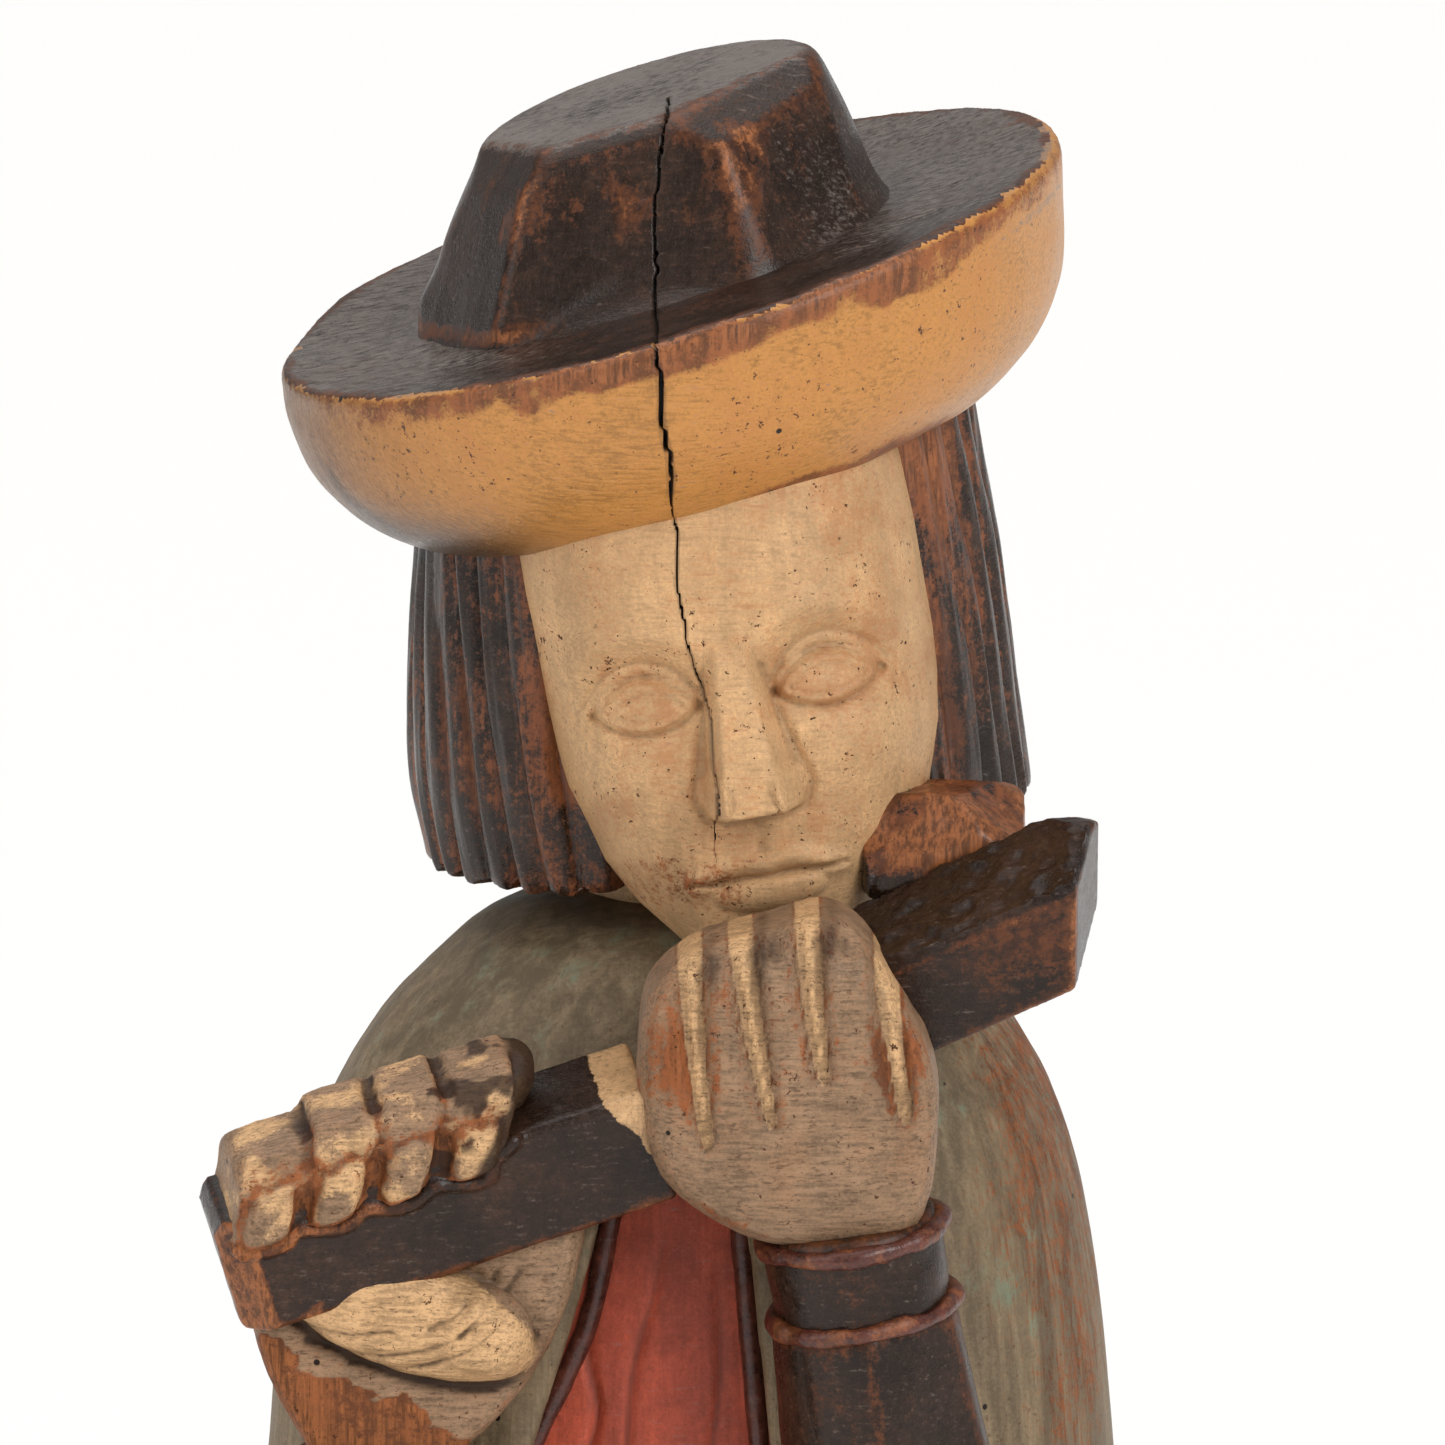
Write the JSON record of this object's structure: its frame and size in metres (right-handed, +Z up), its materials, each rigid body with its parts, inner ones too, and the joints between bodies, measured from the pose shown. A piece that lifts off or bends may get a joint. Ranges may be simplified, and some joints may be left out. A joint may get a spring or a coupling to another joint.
{
  "type": "carved wooden flute player figure",
  "caption": "Standing carved and painted wooden figure of a flute player in a broad-brimmed hat and cloak, holding a square flute in raised hands, on an oval plinth.",
  "frame": {"origin": "centre of the plinth's underside", "axes": "+Z up; the figure faces -Y and its own left side is towards +X"},
  "size_m": [0.2175, 0.2145, 0.7669],
  "materials": {
    "black_paint": "worn satin",
    "ochre_paint": "worn satin",
    "cream_paint": "worn matt",
    "green_paint": "worn matt",
    "red_paint": "worn satin",
    "oxblood_paint": "worn satin",
    "bare_wood": "matt"
  },
  "bodies": {
    "root": {"plinth": "black_paint", "left_boot": "black_paint", "right_boot": "black_paint", "left_leg": "cream_paint", "right_leg": "cream_paint", "tunic_skirt": "red_paint", "belt": "black_paint", "vest": "red_paint", "vest_piping_left": "oxblood_paint", "vest_piping_right": "oxblood_paint", "neck": "cream_paint", "cloak": "green_paint", "head": "cream_paint", "hair_lock_left": "black_paint", "hair_lock_right": "black_paint", "hair_back": "black_paint", "hat_brim": "ochre_paint", "hat_crown": "black_paint", "left_sleeve": "black_paint", "right_sleeve": "black_paint", "left_cuff": "black_paint", "right_cuff": "black_paint", "left_cuff_rings": "oxblood_paint", "right_cuff_rings": "oxblood_paint", "left_hand": "cream_paint", "left_thumb": "cream_paint", "right_palm": "cream_paint", "right_fingers": "cream_paint", "right_thumb": "cream_paint", "flute_near": "black_paint", "flute_far": "black_paint", "flute_web": "bare_wood", "flute_near_dowel": "bare_wood", "flute_far_dowel": "bare_wood", "left_wrist_dowel": "bare_wood", "right_wrist_dowel": "bare_wood"}
  },
  "joints": []
}
